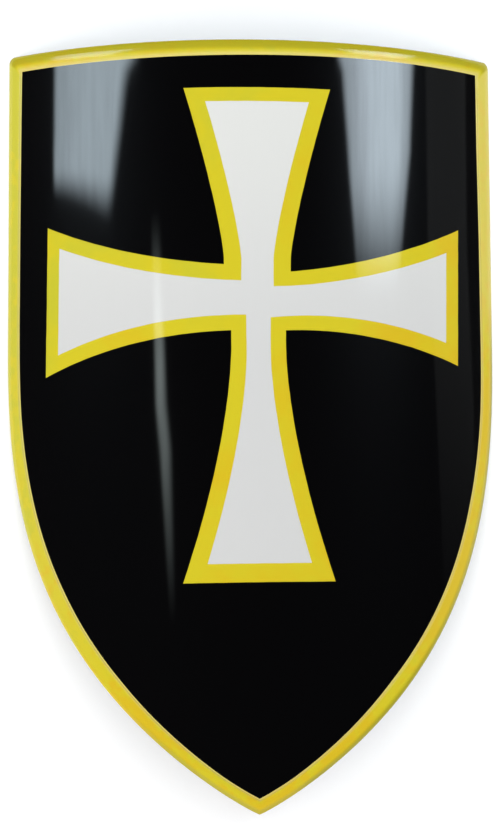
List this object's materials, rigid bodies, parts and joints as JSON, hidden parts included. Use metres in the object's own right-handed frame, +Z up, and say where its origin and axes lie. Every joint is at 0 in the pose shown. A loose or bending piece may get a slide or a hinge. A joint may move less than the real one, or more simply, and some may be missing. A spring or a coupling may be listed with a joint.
{
  "type": "heater shield",
  "caption": "Curved heater shield of sheet steel with a rolled border, a painted cross on its face, and leather arm and hand straps on its back.",
  "frame": {"origin": "on the floor under the middle of the shield as it lies face up on its two straight sides", "axes": "+X across the shield, +Y along its height towards the straight top edge, +Z up through the face"},
  "size_m": [0.4592, 0.711, 0.0857],
  "materials": {
    "painted_steel": "gloss black, with a golden yellow border and a white cross outlined in the same yellow",
    "strap_leather": "dark brown, lightly waxed",
    "stud_steel": "satin"
  },
  "bodies": {
    "root": {"shield_plate": "painted_steel", "arm_strap": "strap_leather", "grip_strap": "strap_leather", "arm_strap_stud_1": "stud_steel", "arm_strap_stud_2": "stud_steel", "arm_strap_stud_3": "stud_steel", "arm_strap_stud_4": "stud_steel", "grip_strap_stud_1": "stud_steel", "grip_strap_stud_2": "stud_steel"}
  },
  "joints": []
}
